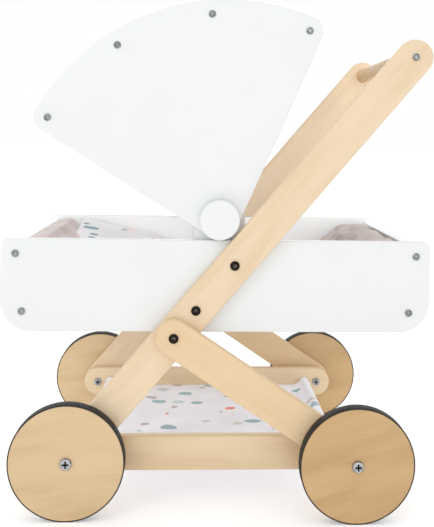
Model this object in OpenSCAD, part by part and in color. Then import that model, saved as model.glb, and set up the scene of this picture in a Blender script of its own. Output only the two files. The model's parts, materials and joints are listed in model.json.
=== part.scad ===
// Doll's pram of plywood boards: four wheels, a white tray, a folding hood and a cloth shelf.
// The front is at -X and the handle at +X. The left side is at -Y, and Z is up from the floor.
// The origin is on the floor, under the middle of the tray.

/* [Wheels] */
// Outside diameter of a wheel with its rubber band
wheel_d = 130; // [122:1:134]
// Width of a wheel
wheel_w = 15; // [12:0.5:18]
// Thickness of the rubber band round a wheel
band_t = 1.2; // [1:0.1:3]
// Distance of the front axles ahead of the tray's middle
front_axle_x = 166.5; // [160:0.5:172]
// Distance of the rear axles behind the tray's middle
rear_axle_x = 158.5; // [152:0.5:166]

/* [Frame] */
// Thickness of the arms, legs and lower rails
board_t = 12; // [10:1:14]
// Width of the arms and legs
arm_w = 41.5; // [38:0.5:44]
// Length of an arm between its front axle and the grip
arm_l = 605; // [590:1:615]
// Slope of the arms from the floor
arm_angle = 49.7; // [49:0.1:50.4]
// Height of the lower rails
rail_h = 40; // [34:1:44]
// Diameter of the round grip
grip_d = 20; // [16:1:24]

/* [Tray] */
// Length of the tray's side panels
tray_l = 498; // [480:1:510]
// Width of the tray over its side panels
tray_w = 286; // [270:1:300]
// Height of the tray's side panels
tray_h = 106; // [100:1:108]
// Height of the tray's underside above the floor
tray_z = 205; // [203:1:207]
// Thickness of the tray's panels
panel_t = 10; // [9:0.5:11]
// Lean of the tray's end boards
end_lean = 7; // [0:1:10]

/* [Hood] */
// Radius of the hood's outer arc
hood_r = 255.5; // [244:0.5:258]
// Height of the hood's pivot above the floor
hood_z = 335; // [335:0.5:340]
// Direction of the first bar from the arc's middle, measured up from the handle's side
hood_first_bar = 151.2; // [149:0.1:152]
// Direction of the last bar from the arc's middle, measured up from the handle's side
hood_last_bar = 67.6; // [66:0.1:70]
// Thickness of the hood's side panels
hood_t = 7.5; // [6.5:0.5:7.5]
// Diameter of the hood's cross bars
hood_bar_d = 18; // [14:1:20]

/* [Shelf] */
// Diameter of the two rods that carry the cloth shelf
rod_d = 12; // [10:1:14]
// Thickness of the cloth
cloth_t = 1.5; // [1:0.1:2]

/* [Hidden] */
$fn = 64;

// Colours
birch = "#ecd4ac";
white_paint = "#f4f4f3";
zinc = "#b9bcc0";
dark_nickel = "#4a4846";
rubber = "#1d1a1b";
print_cloth = "#dcdadc";
mauve_cloth = "#c9bdbc";

// Distances out from the middle plane
side_y = tray_w / 2;
rail_y = side_y - board_t;
leg_y = side_y + board_t;
bracket_t = 10;
bracket_y = side_y - panel_t - bracket_t;
washer_t = 2;
wheel_gap = 0.3;
front_wheel_y = side_y + board_t + washer_t + wheel_gap;
rear_wheel_y = front_wheel_y + board_t;
hood_gap = 2;
hood_y = side_y - hood_gap - hood_t;

// Points in the side view, as [x, z]
axle_z = wheel_d / 2;
front_axle = [-front_axle_x, axle_z];
rear_axle = [rear_axle_x, axle_z];
arm_way = [cos(arm_angle), sin(arm_angle)];
grip_at = front_axle + arm_l * arm_way;
leg_pivot = front_axle + 181 * arm_way;
low_bolt = front_axle + 219 * arm_way;
high_bolt = front_axle + 286.5 * arm_way;
hood_at = [1, hood_z];
hood_middle = hood_at + [10.5, -0.5];

// Fasteners
bolt_r = 3;
running_r = bolt_r + 0.05;
screw_r = 2;
bolt_head = [5.5, 3];
axle_head = [6.5, 3];
nut_head = [5.5, 2.5];
screw_head = [4.2, 2];
hood_screw_head = [4.2, 1.5];
socket_r = 2.3;
insert_wall = 1.5;
cap_hole_r = 1.5;
washer_r = 8;
spacer_r = 14;

// Tray
tray_low_corner = 37;
tray_top_corner = 9.5;
tray_top = tray_z + tray_h;
end_x = 223.8;
end_z = 228;
end_low = tray_z + 4;
end_top = tray_top - 6;
end_screw_z = [228, 294];
floor_t = 8;
floor_half = 216;
screw_l = 32;

// Hood
hood_apex_r = 23;
hood_corner_r = 16;
hood_bar_ring = hood_r - hood_corner_r;
hood_bar_step = (hood_first_bar - hood_last_bar) / 3;
hood_front_edge = edge_slope(hood_bar_at(0), -1);
hood_rear_edge = edge_slope(hood_bar_at(3), 1);
hood_disc_r = 23;
hood_disc_t = 12;
hood_cloth_clear = 0.3;
bracket_r = 30;
bracket_low = 250;
bracket_screw_at = [for (z = [14, 46]) [hood_at.x - 17, bracket_low + z]];

// Shelf
rod_inset = 19;
rod_depth = 6;
rod_r = rod_d / 2;
shelf_top = 61;
front_rod = [rod_inset - front_axle_x, axle_z];
rear_rod = [rear_axle_x - rod_inset, axle_z];

// Bedding
mattress_half_x = 213;
mattress_top = tray_z + floor_t + 28;
mattress_half_y = 124;
bedding_low = mattress_top + 0.5;

// The side outlines of the pillow and of the cover that lies against it, as [x, z]
pillow_outline = [
    [-218.5, bedding_low], [-150, bedding_low], [-150, 284], [-197, 300], [-206, 306],
    [-222, 306], [-225.5, 300]
];
cover_outline = [
    [-149, bedding_low], [-34, bedding_low], [-34, 262], [-80, 290], [-150, 302], [-190, 309],
    [-195, 301.5], [-149, 285.5]
];
pillow_half_y = 116;
cover_half_y = 119;
blanket_low = [120, -116, bedding_low];
blanket_high = [214, 116, 304];

// Points on an arc, counter-clockwise where to is more than from
function arc(centre, r, from, to, steps) =
    [for (i = [0:steps]) let (a = from + (to - from) * i / steps) centre + r * [cos(a), sin(a)]];

function end_board_x(z) = end_x + (z - end_z) * tan(end_lean);

function hood_bar_angle(i) = hood_first_bar - i * hood_bar_step;

function hood_bar_at(i) =
    hood_middle + hood_bar_ring * [cos(hood_bar_angle(i)), sin(hood_bar_angle(i))];

// Slope of the straight edge that touches the apex and the corner about a bar
function edge_slope(bar, way) = let (run = bar - hood_at)
    atan2(run.y, run.x) + way * asin((hood_apex_r - hood_corner_r) / norm(run));

function wheel_y(end) = end == "front" ? front_wheel_y : rear_wheel_y;

function axle_at(end) = end == "front" ? front_axle : rear_axle;

// A flat shape of the side view, drawn on the left side from y out to y + t
module plate(y, t) {
    translate([0, -y, 0]) rotate([90, 0, 0]) linear_extrude(t) children();
}

// The children on the left and their mirror image on the right
module both_sides() {
    children();
    mirror([0, 1, 0]) children();
}

// The children on one side only, -1 for left and 1 for right
module on_side(side) {
    mirror([0, side > 0 ? 1 : 0, 0]) children();
}

// A board with round ends about points a and b
module slat(a, b, w) {
    run = b - a;
    translate(a) rotate(atan2(run.y, run.x)) {
        circle(d = w);
        translate([norm(run), 0]) circle(d = w);
        translate([0, -w / 2]) square([norm(run), w]);
    }
}

// A round hole in the side view
module hole(at, r) {
    translate(at) circle(r = r);
}

// A headed shaft that points inwards, its head resting on the plane y
module headed_shaft(at, y, head, r, length, recess) {
    translate([at.x, -y, at.y]) rotate([90, 0, 0]) {
        difference() {
            union() {
                cylinder(r = head.x, h = head.y / 2);
                translate([0, 0, head.y / 2])
                    cylinder(r1 = head.x, r2 = head.x * 0.72, h = head.y / 2);
            }
            translate([0, 0, head.y * 0.45]) recess_shape(recess, head.x, head.y);
        }
        translate([0, 0, -length]) cylinder(r = r, h = length);
    }
}

// The driver's recess in a head: a cross or a hexagon
module recess_shape(kind, r, h) {
    slot = 1.3;
    if (kind == "cross") {
        for (turn = [0, 90])
            rotate(turn) translate([-r * 0.5, -slot / 2, 0]) cube([r, slot, h]);
    } else {
        cylinder(r = socket_r, h = h, $fn = 6);
    }
}

// A round cap on the inner end of a shaft, its face on the plane y
module end_cap(at, y, head, r) {
    plate(y - head.y, head.y) difference() {
        hole(at, head.x);
        hole(at, r);
    }
}

// ---- Tray ----

module tray_outline() {
    half = tray_l / 2;
    for (x = [-1, 1]) {
        translate([x * (half - tray_low_corner), tray_z + tray_low_corner])
            circle(r = tray_low_corner);
        translate([x * (half - tray_top_corner), tray_top - tray_top_corner])
            circle(r = tray_top_corner);
    }
    translate([tray_low_corner - half, tray_z]) square([tray_l - 2 * tray_low_corner, tray_h]);
    translate([-half, tray_z + tray_low_corner])
        square([tray_l, tray_h - tray_low_corner - tray_top_corner]);
    translate([tray_top_corner - half, tray_z + tray_low_corner])
        square([tray_l - 2 * tray_top_corner, tray_h - tray_low_corner]);
}

module tray_side(side) {
    color(white_paint) on_side(side) plate(side_y - panel_t, panel_t) difference() {
        tray_outline();
        for (x = [-1, 1], z = end_screw_z) hole([x * end_board_x(z), z], screw_r);
        hole(low_bolt, bolt_r);
        hole(high_bolt, bolt_r);
    }
}

module tray_end(way) {
    long = (end_top - end_low) / cos(end_lean);
    half_y = side_y - panel_t;
    color(white_paint) difference() {
        translate([way * end_board_x(end_low), -half_y, end_low]) rotate([0, way * end_lean, 0])
            translate([-panel_t / 2, 0, 0]) cube([panel_t, 2 * half_y, long]);
        for (z = end_screw_z)
            both_sides() plate(half_y - screw_l + panel_t, screw_l)
                hole([way * end_board_x(z), z], screw_r);
    }
}

module tray_floor() {
    color(white_paint) translate([-floor_half, panel_t - side_y, tray_z])
        cube([2 * floor_half, tray_w - 2 * panel_t, floor_t]);
}

module tray_screws() {
    color(zinc) for (x = [-1, 1], z = end_screw_z)
        both_sides() headed_shaft([x * end_board_x(z), z], side_y, screw_head, screw_r,
            screw_l, "cross");
}

// ---- Frame ----

module handle_arm(side) {
    color(birch) on_side(side) plate(side_y, board_t) difference() {
        slat(front_axle, grip_at, arm_w);
        for (at = [front_axle, low_bolt, high_bolt]) hole(at, bolt_r);
        hole(leg_pivot, bolt_r + insert_wall);
        hole(grip_at, screw_r);
    }
}

module leg(side) {
    color(birch) on_side(side) plate(leg_y, board_t) difference() {
        slat(leg_pivot, rear_axle, arm_w);
        hole(leg_pivot, bolt_r);
        hole(rear_axle, bolt_r);
    }
}

module lower_rail(side) {
    color(birch) on_side(side) difference() {
        plate(rail_y, board_t) difference() {
            slat(front_axle, rear_axle, rail_h);
            hole(front_axle, bolt_r);
            hole(rear_axle, bolt_r);
        }
        for (at = [front_rod, rear_rod]) plate(rail_y, rod_depth) hole(at, rod_r);
    }
}

module handle_grip() {
    color(birch) difference() {
        translate([grip_at.x, side_y, grip_at.y]) rotate([90, 0, 0])
            cylinder(d = grip_d, h = tray_w);
        both_sides() plate(side_y + board_t - screw_l, screw_l) hole(grip_at, screw_r);
    }
}

module grip_screws() {
    color(zinc) both_sides()
        headed_shaft(grip_at, side_y + board_t, screw_head, screw_r, screw_l, "cross");
}

module arm_bolts() {
    color(dark_nickel) both_sides() {
        headed_shaft(low_bolt, leg_y, bolt_head, bolt_r, board_t + panel_t, "hex");
        headed_shaft(high_bolt, leg_y, bolt_head, bolt_r, board_t + panel_t + bracket_t, "hex");
    }
}

module arm_bolt_nuts() {
    color(dark_nickel) both_sides() {
        end_cap(low_bolt, side_y - panel_t, bolt_head, cap_hole_r);
        end_cap(high_bolt, bracket_y, bolt_head, cap_hole_r);
    }
}

module leg_bolts() {
    color(dark_nickel) both_sides()
        headed_shaft(leg_pivot, leg_y + board_t, bolt_head, bolt_r, 2 * board_t, "hex");
}

module leg_bolt_inserts() {
    color(zinc) both_sides() plate(side_y, board_t) difference() {
        hole(leg_pivot, bolt_r + insert_wall);
        hole(leg_pivot, bolt_r);
    }
}

module rear_axle_spacers() {
    color(birch) both_sides() plate(side_y, board_t) difference() {
        hole(rear_axle, spacer_r);
        hole(rear_axle, bolt_r);
    }
}

// ---- Wheels ----

module wheel(end, side) {
    color(birch) on_side(side) plate(wheel_y(end), wheel_w) difference() {
        hole(axle_at(end), wheel_d / 2 - band_t);
        hole(axle_at(end), running_r);
    }
}

module tyre(end, side) {
    color(rubber) on_side(side) plate(wheel_y(end), wheel_w) difference() {
        hole(axle_at(end), wheel_d / 2);
        hole(axle_at(end), wheel_d / 2 - band_t);
    }
}

module axle_bolts() {
    color(zinc) both_sides() for (end = ["front", "rear"]) {
        head_y = wheel_y(end) + wheel_w + wheel_gap;
        headed_shaft(axle_at(end), head_y, axle_head, bolt_r, head_y - rail_y, "cross");
    }
}

module axle_nuts() {
    color(zinc) both_sides() for (at = [front_axle, rear_axle])
        end_cap(at, rail_y, nut_head, cap_hole_r);
}

module wheel_washers() {
    color(zinc) both_sides() for (end = ["front", "rear"])
        plate(wheel_y(end) - wheel_gap - washer_t, washer_t) difference() {
            hole(axle_at(end), washer_r);
            hole(axle_at(end), bolt_r);
        }
}

// ---- Shelf ----

module shelf_rod(at) {
    long = 2 * (rail_y + rod_depth);
    color(birch) translate([at.x, long / 2, at.y]) rotate([90, 0, 0]) cylinder(d = rod_d, h = long);
}

// A flat sheet between two sleeves that go round the rods
module shelf_cloth() {
    sleeve_r = rod_r + cloth_t;
    color(print_cloth) translate([0, rail_y, 0]) rotate([90, 0, 0]) linear_extrude(2 * rail_y)
        difference() {
            union() {
                for (at = [front_rod, rear_rod]) hole(at, sleeve_r);
                translate([front_rod.x, shelf_top - cloth_t])
                    square([rear_rod.x - front_rod.x, cloth_t]);
            }
            for (at = [front_rod, rear_rod]) hole(at, rod_r);
        }
}

// ---- Hood ----

module hood_bracket(side) {
    color(white_paint) on_side(side) plate(bracket_y, bracket_t) difference() {
        union() {
            hole(hood_at, bracket_r);
            translate([hood_at.x - bracket_r, bracket_low])
                square([2 * bracket_r, hood_z - bracket_low]);
        }
        hole(hood_at, bolt_r);
        hole(high_bolt, bolt_r);
        for (at = bracket_screw_at) hole(at, screw_r);
    }
}

// Screws from inside the tray that stop inside its side panel
module bracket_screws() {
    color(zinc) both_sides() for (at = bracket_screw_at)
        translate([at.x, -bracket_y, at.y]) rotate([-90, 0, 0]) {
            translate([0, 0, -bracket_t]) cylinder(r = screw_r, h = bracket_t);
            cylinder(r1 = screw_head.x, r2 = screw_head.x * 0.7, h = screw_head.y);
        }
}

// A fan with a round apex at the pivot and round corners about its first and last bars
module hood_outline() {
    polygon(concat(
        arc(hood_at, hood_apex_r, hood_front_edge + 90, hood_rear_edge + 270, 24),
        arc(hood_bar_at(3), hood_corner_r, hood_rear_edge - 90, hood_last_bar, 12),
        arc(hood_middle, hood_r, hood_last_bar, hood_first_bar, 72),
        arc(hood_bar_at(0), hood_corner_r, hood_first_bar, hood_front_edge + 90, 12)
    ));
}

module hood_side(side) {
    color(white_paint) on_side(side) plate(hood_y, hood_t) difference() {
        hood_outline();
        hole(hood_at, running_r);
        for (i = [0:3]) hole(hood_bar_at(i), screw_r);
    }
}

module hood_bar(i) {
    at = hood_bar_at(i);
    color(birch) difference() {
        translate([at.x, hood_y, at.y]) rotate([90, 0, 0])
            cylinder(d = hood_bar_d, h = 2 * hood_y);
        both_sides() plate(hood_y + hood_t - screw_l, screw_l) hole(at, screw_r);
    }
}

module hood_screws() {
    color(zinc) both_sides() for (i = [0:3])
        headed_shaft(hood_bar_at(i), hood_y + hood_t, hood_screw_head, screw_r, screw_l,
            "cross");
}

// The line of the cover at a distance r from the bars' middles, from the front bar to the rear
function cover_line(r) = [
    for (i = [0:3])
        let (a = hood_bar_angle(i),
             from = i == 0 ? a + 100 : a + hood_bar_step / 2,
             to = i == 3 ? a - 100 : a - hood_bar_step / 2)
        each arc(hood_bar_at(i), r, from, to, i == 0 || i == 3 ? 16 : 6)
];

// The cover, stretched straight from bar to bar
module hood_cloth() {
    inner = hood_bar_d / 2 + hood_cloth_clear;
    outside = cover_line(inner + cloth_t);
    inside = cover_line(inner);
    last = len(inside) - 1;
    color(print_cloth) translate([0, hood_y, 0]) rotate([90, 0, 0]) linear_extrude(2 * hood_y)
        polygon(concat(outside, [for (i = [0:last]) inside[last - i]]));
}

module hood_disc(side) {
    bore_l = 8;
    color(white_paint) on_side(side) difference() {
        plate(hood_y + hood_t, hood_disc_t) hole(hood_at, hood_disc_r);
        plate(hood_y + hood_t, bore_l) hole(hood_at, running_r);
    }
}

// Headed pins that are fixed in the brackets and reach out through the hood into its discs
module hood_pivot_bolts() {
    reach = 7;
    color(zinc) both_sides() {
        plate(bracket_y, hood_y + hood_t + reach - bracket_y) hole(hood_at, bolt_r);
        plate(bracket_y - bolt_head.y, bolt_head.y) hole(hood_at, bolt_head.x);
    }
}

// ---- Bedding ----

// A box with rounded corners in plan
module soft_block(low, high, r) {
    size = high - low;
    translate([low.x, low.y, low.z]) linear_extrude(size.z) {
        for (x = [r, size.x - r], y = [r, size.y - r]) translate([x, y]) circle(r = r);
        translate([r, 0]) square([size.x - 2 * r, size.y]);
        translate([0, r]) square([size.x, size.y - 2 * r]);
    }
}

// A side outline drawn out equally to both sides
module soft_run(outline, half_y) {
    translate([0, half_y, 0]) rotate([90, 0, 0]) linear_extrude(2 * half_y) polygon(outline);
}

module mattress() {
    color(mauve_cloth) soft_block([-mattress_half_x, -mattress_half_y, tray_z + floor_t],
        [mattress_half_x, mattress_half_y, mattress_top], 18);
}

module pillow() {
    color(mauve_cloth) soft_run(pillow_outline, pillow_half_y);
}

module cover() {
    color(print_cloth) soft_run(cover_outline, cover_half_y);
}

module blanket() {
    color(mauve_cloth) soft_block(blanket_low, blanket_high, 24);
}

tray_side(-1);  // tray_side_left
tray_side(1);  // tray_side_right
tray_end(-1);  // tray_end_front
tray_end(1);  // tray_end_rear
tray_floor();
tray_screws();
hood_bracket(-1);  // hood_bracket_left
hood_bracket(1);  // hood_bracket_right
bracket_screws();
handle_arm(-1);  // handle_arm_left
handle_arm(1);  // handle_arm_right
handle_grip();
grip_screws();
leg(-1);  // leg_left
leg(1);  // leg_right
lower_rail(-1);  // lower_rail_left
lower_rail(1);  // lower_rail_right
arm_bolts();
arm_bolt_nuts();
leg_bolts();
leg_bolt_inserts();
rear_axle_spacers();
shelf_rod(front_rod);  // shelf_rod_front
shelf_rod(rear_rod);  // shelf_rod_rear
shelf_cloth();
axle_bolts();
axle_nuts();
wheel_washers();
wheel("front", -1);  // wheel_front_left
wheel("front", 1);  // wheel_front_right
wheel("rear", -1);  // wheel_rear_left
wheel("rear", 1);  // wheel_rear_right
tyre("front", -1);  // tyre_front_left
tyre("front", 1);  // tyre_front_right
tyre("rear", -1);  // tyre_rear_left
tyre("rear", 1);  // tyre_rear_right
hood_side(-1);  // hood_side_left
hood_side(1);  // hood_side_right
hood_bar(0);  // hood_bar_1
hood_bar(1);  // hood_bar_2
hood_bar(2);  // hood_bar_3
hood_bar(3);  // hood_bar_4
hood_screws();
hood_cloth();
hood_disc(-1);  // hood_disc_left
hood_disc(1);  // hood_disc_right
hood_pivot_bolts();
mattress();
pillow();
cover();
blanket();
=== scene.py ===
"""A wooden doll's pram: plywood arms and wheels, a white tray, a fan-shaped folding hood and a cloth shelf.

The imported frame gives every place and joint. Each sub-assembly here models its own pieces around
that frame, in metres, and dresses them in procedural finishes.
"""

import contextlib
import json
import logging
import math
from collections.abc import Callable, Iterator, Sequence
from dataclasses import dataclass, field
from enum import Enum
from typing import Any

import bmesh
import bpy
from mathutils import Matrix, Vector, noise

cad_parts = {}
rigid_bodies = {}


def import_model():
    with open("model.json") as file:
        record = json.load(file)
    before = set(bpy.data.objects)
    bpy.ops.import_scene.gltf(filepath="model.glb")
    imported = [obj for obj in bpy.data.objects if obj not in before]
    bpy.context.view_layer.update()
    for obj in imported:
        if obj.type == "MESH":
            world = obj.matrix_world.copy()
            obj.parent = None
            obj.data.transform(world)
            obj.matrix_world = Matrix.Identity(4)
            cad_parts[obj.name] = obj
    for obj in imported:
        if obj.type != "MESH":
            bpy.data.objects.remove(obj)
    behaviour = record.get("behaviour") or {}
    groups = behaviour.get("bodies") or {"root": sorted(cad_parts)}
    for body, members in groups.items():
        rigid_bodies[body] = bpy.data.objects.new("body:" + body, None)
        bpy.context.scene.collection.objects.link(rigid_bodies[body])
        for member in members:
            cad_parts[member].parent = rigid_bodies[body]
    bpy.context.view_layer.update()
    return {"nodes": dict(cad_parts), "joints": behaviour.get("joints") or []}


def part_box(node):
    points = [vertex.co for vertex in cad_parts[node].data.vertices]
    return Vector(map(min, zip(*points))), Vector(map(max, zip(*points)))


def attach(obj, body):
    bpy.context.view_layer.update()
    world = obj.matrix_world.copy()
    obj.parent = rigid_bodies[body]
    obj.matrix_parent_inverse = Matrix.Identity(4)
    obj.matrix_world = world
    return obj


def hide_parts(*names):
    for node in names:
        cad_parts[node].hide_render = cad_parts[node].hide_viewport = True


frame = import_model()

LOG = logging.getLogger("pram")
MM = 0.001
Point = tuple[float, float]
SIDES = {"left": -1, "right": 1}


# ---------------------------------------------------------------- bench: modelling by operators


def take(*objects: bpy.types.Object) -> None:
    """Selects only these objects and makes the first one active.

    Args:
        objects: The objects to work on.
    """
    bpy.ops.object.select_all(action="DESELECT")
    for obj in objects:
        obj.select_set(True)
    bpy.context.view_layer.objects.active = objects[0]


@contextlib.contextmanager
def editing(obj: bpy.types.Object, mode: str = "FACE") -> Iterator[bmesh.types.BMesh]:
    """Opens a piece in edit mode with nothing selected.

    Args:
        obj: The piece to edit.
        mode: What is being picked: VERT, EDGE or FACE.

    Yields:
        The edit mesh, for picking elements by place or normal.
    """
    take(obj)
    bpy.ops.object.mode_set(mode="EDIT")
    bpy.ops.mesh.select_mode(type=mode)
    bpy.ops.mesh.select_all(action="DESELECT")
    yield bmesh.from_edit_mesh(obj.data)
    bpy.ops.object.mode_set(mode="OBJECT")


def pick(obj: bpy.types.Object, elements: Any, wanted: Callable[[Any], bool]) -> int:
    """Selects the elements of an edit mesh that pass a test.

    Args:
        obj: The piece in edit mode.
        elements: Its vertices, edges or faces.
        wanted: The test for one element.

    Returns:
        How many were selected.
    """
    count = 0
    for element in elements:
        if wanted(element):
            element.select_set(True)
            count += 1
    bmesh.update_edit_mesh(obj.data)
    return count


def named(name: str) -> bpy.types.Object:
    """Names the primitive that was just added, and returns it."""
    obj = bpy.context.active_object
    obj.name = name
    obj.data.name = name
    return obj


def modify(obj: bpy.types.Object, kind: str, **settings: Any) -> None:
    """Adds one modifier to a piece and applies it.

    Args:
        obj: The piece.
        kind: The modifier's type.
        settings: The modifier's properties.
    """
    take(obj)
    modifier = obj.modifiers.new(kind.lower(), kind)
    for key, value in settings.items():
        setattr(modifier, key, value)
    bpy.ops.object.modifier_apply(modifier=modifier.name)


def settle(obj: bpy.types.Object) -> None:
    """Applies a piece's place, turn and size to its mesh."""
    take(obj)
    bpy.ops.object.transform_apply(location=True, rotation=True, scale=True)


def smooth(obj: bpy.types.Object, degrees: float = 32.0) -> None:
    """Shades a piece smooth, apart from edges sharper than an angle."""
    take(obj)
    bpy.ops.object.shade_smooth_by_angle(angle=math.radians(degrees))


def face_outwards(obj: bpy.types.Object) -> None:
    """Merges doubled points and turns every face outwards."""
    with editing(obj):
        bpy.ops.mesh.select_all(action="SELECT")
        bpy.ops.mesh.remove_doubles(threshold=1e-6)
        bpy.ops.mesh.normals_make_consistent(inside=False)


def arc(centre: Point, radius: float, start: float, end: float, steps: int) -> list[Point]:
    """Points along an arc of the side view.

    Args:
        centre: The arc's centre, as (x, z).
        radius: The arc's radius.
        start: The first point's direction, in degrees.
        end: The last point's direction, in degrees.
        steps: How many steps the arc is cut into.

    Returns:
        The points, from start to end.
    """
    turns = [math.radians(start + (end - start) * i / steps) for i in range(steps + 1)]
    return [(centre[0] + radius * math.cos(t), centre[1] + radius * math.sin(t)) for t in turns]


@dataclass
class Board:
    """A flat piece sawn from sheet: an outline in the side view, with a thickness along Y."""

    name: str
    outline: list[Point]
    low_y: float
    high_y: float
    edge: float
    edge_steps: int = 3

    def saw(self) -> bpy.types.Object:
        """Cuts the outline, gives it its thickness and rounds its edges over.

        Returns:
            The finished piece.
        """
        bpy.ops.mesh.primitive_circle_add(vertices=len(self.outline), fill_type="NGON")
        obj = named(self.name)
        for vertex, (x, z) in zip(obj.data.vertices, self.outline):
            vertex.co = (x, self.low_y, z)
        with editing(obj):
            bpy.ops.mesh.select_all(action="SELECT")
            bpy.ops.mesh.extrude_region_move(
                TRANSFORM_OT_translate={"value": (0, self.high_y - self.low_y, 0)}
            )
        face_outwards(obj)
        if self.edge > 0:
            self.round_over(obj)
        smooth(obj)
        return obj

    def round_over(self, obj: bpy.types.Object) -> None:
        """Rounds the edges round both of the board's faces."""
        with editing(obj, "EDGE") as mesh:
            pick(obj, mesh.edges, lambda e: abs(e.verts[0].co.y - e.verts[1].co.y) < 1e-6)
            bpy.ops.mesh.bevel(
                offset=self.edge, segments=self.edge_steps, affect="EDGES", clamp_overlap=False
            )


def solids_of(node: str) -> list[tuple[Vector, Vector]]:
    """The boxes of the separate solids in a CAD node.

    Args:
        node: The node's name.

    Returns:
        One (lowest corner, highest corner) for each solid, in a steady order.
    """
    mesh = frame["nodes"][node].data
    keys = [tuple(round(c, 6) for c in vertex.co) for vertex in mesh.vertices]
    parent = {key: key for key in keys}

    def root(key: tuple) -> tuple:
        """The chief point of the solid that a point belongs to."""
        while parent[key] != key:
            parent[key] = parent[parent[key]]
            key = parent[key]
        return key

    for polygon in mesh.polygons:
        first, *rest = (keys[i] for i in polygon.vertices)
        for key in rest:
            parent[root(key)] = root(first)
    groups: dict[tuple, list[tuple]] = {}
    for key in parent:
        groups.setdefault(root(key), []).append(key)
    boxes = [
        (Vector(map(min, zip(*points))), Vector(map(max, zip(*points))))
        for points in groups.values()
    ]
    return sorted(boxes, key=lambda box: tuple(round(c, 4) for c in box[0]))


# ---------------------------------------------------------------- finishes


def linear(colour: str) -> tuple[float, float, float, float]:
    """Turns an sRGB hex colour to the linear colour that shaders use."""
    channels = [int(colour[i : i + 2], 16) / 255 for i in (1, 3, 5)]
    return (*(c / 12.92 if c <= 0.04045 else ((c + 0.055) / 1.055) ** 2.4 for c in channels), 1.0)


def add_node(
    tree: bpy.types.NodeTree, kind: str, inputs: dict | None = None, **settings: Any
) -> bpy.types.Node:
    """Adds a node with its settings, its values and its links.

    Args:
        tree: The node tree.
        kind: The node's type, without the ShaderNode that starts its name.
        inputs: Sockets by name or number, each with a value or the output that feeds it.
        settings: The node's own properties.

    Returns:
        The node.
    """
    made = tree.nodes.new("ShaderNode" + kind)
    for key, value in settings.items():
        setattr(made, key, value)
    for key, value in (inputs or {}).items():
        if isinstance(value, bpy.types.NodeSocket):
            tree.links.new(value, made.inputs[key])
        else:
            made.inputs[key].default_value = value
    return made


def ramp(
    tree: bpy.types.NodeTree, factor: Any, stops: Sequence[tuple[float, str]], step: bool = False
) -> bpy.types.NodeSocket:
    """Adds a colour ramp.

    Args:
        tree: The node tree.
        factor: The output that drives the ramp.
        stops: Places and hex colours, in order.
        step: True for flat bands in place of blends.

    Returns:
        The ramp's colour output.
    """
    made = add_node(tree, "ValToRGB", {"Fac": factor})
    band = made.color_ramp
    band.interpolation = "CONSTANT" if step else "LINEAR"
    while len(band.elements) < len(stops):
        band.elements.new(0.5)
    for element, (place, colour) in zip(band.elements, stops):
        element.position = place
        element.color = linear(colour)
    return made.outputs["Color"]


def maths(tree: bpy.types.NodeTree, operation: str, a: Any, b: Any = 0.0) -> bpy.types.NodeSocket:
    """Adds one sum and returns its result."""
    return add_node(tree, "Math", {0: a, 1: b}, operation=operation).outputs[0]


def per(size_mm: float) -> float:
    """The texture scale, per metre, at which a pattern's repeat is size_mm."""
    return 1000.0 / size_mm


def emboss(
    tree: bpy.types.NodeTree, shader: Any, height: Any, strength: float, depth_mm: float
) -> None:
    """Raises a pattern on the surface as bump."""
    inputs = {"Height": height, "Strength": strength, "Distance": depth_mm * MM}
    tree.links.new(add_node(tree, "Bump", inputs).outputs[0], shader["Normal"])


def vary_gloss(
    tree: bpy.types.NodeTree, shader: Any, pattern: Any, least: float, most: float
) -> None:
    """Lets the roughness follow a pattern between two values."""
    span = add_node(tree, "MapRange", {"Value": pattern, 3: least, 4: most})
    tree.links.new(span.outputs[0], shader["Roughness"])


def mottle(tree: bpy.types.NodeTree, place: Any, size_mm: float, detail: float) -> Any:
    """Soft noise with patches of about this size."""
    inputs = {"Vector": place, "Scale": per(size_mm), "Detail": detail}
    return add_node(tree, "TexNoise", inputs).outputs["Fac"]


@dataclass(frozen=True)
class Finish:
    """A real surface: its name, the record's slot it belongs to and its gloss."""

    name: str
    slot: str
    roughness: float = 0.5

    def material(self) -> bpy.types.Material:
        """The material of this finish, made the first time it is asked for."""
        made = bpy.data.materials.get(self.name)
        if made is None:
            made = bpy.data.materials.new(self.name)
            made.use_nodes = True
            shader = made.node_tree.nodes["Principled BSDF"]
            shader.inputs["Roughness"].default_value = self.roughness
            self.paint(made.node_tree, shader.inputs)
        return made

    def paint(self, tree: bpy.types.NodeTree, shader: Any) -> None:
        """Links the finish's pattern to the shader.

        Args:
            tree: The material's node tree.
            shader: The Principled shader's inputs.
        """
        raise NotImplementedError


def place_of(tree: bpy.types.NodeTree, turn: Sequence[float] = (0, 0, 0)) -> Any:
    """The point in the row frame, turned about the axes by degrees."""
    coords = add_node(tree, "TexCoord").outputs["Object"]
    rotation = tuple(math.radians(t) for t in turn)
    return add_node(tree, "Mapping", {"Vector": coords, "Rotation": rotation}).outputs[0]


def stretched(tree: bpy.types.NodeTree, place: Any, scale: Sequence[float]) -> Any:
    """A place with each axis multiplied."""
    return add_node(tree, "Mapping", {"Vector": place, "Scale": tuple(scale)}).outputs[0]


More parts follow.
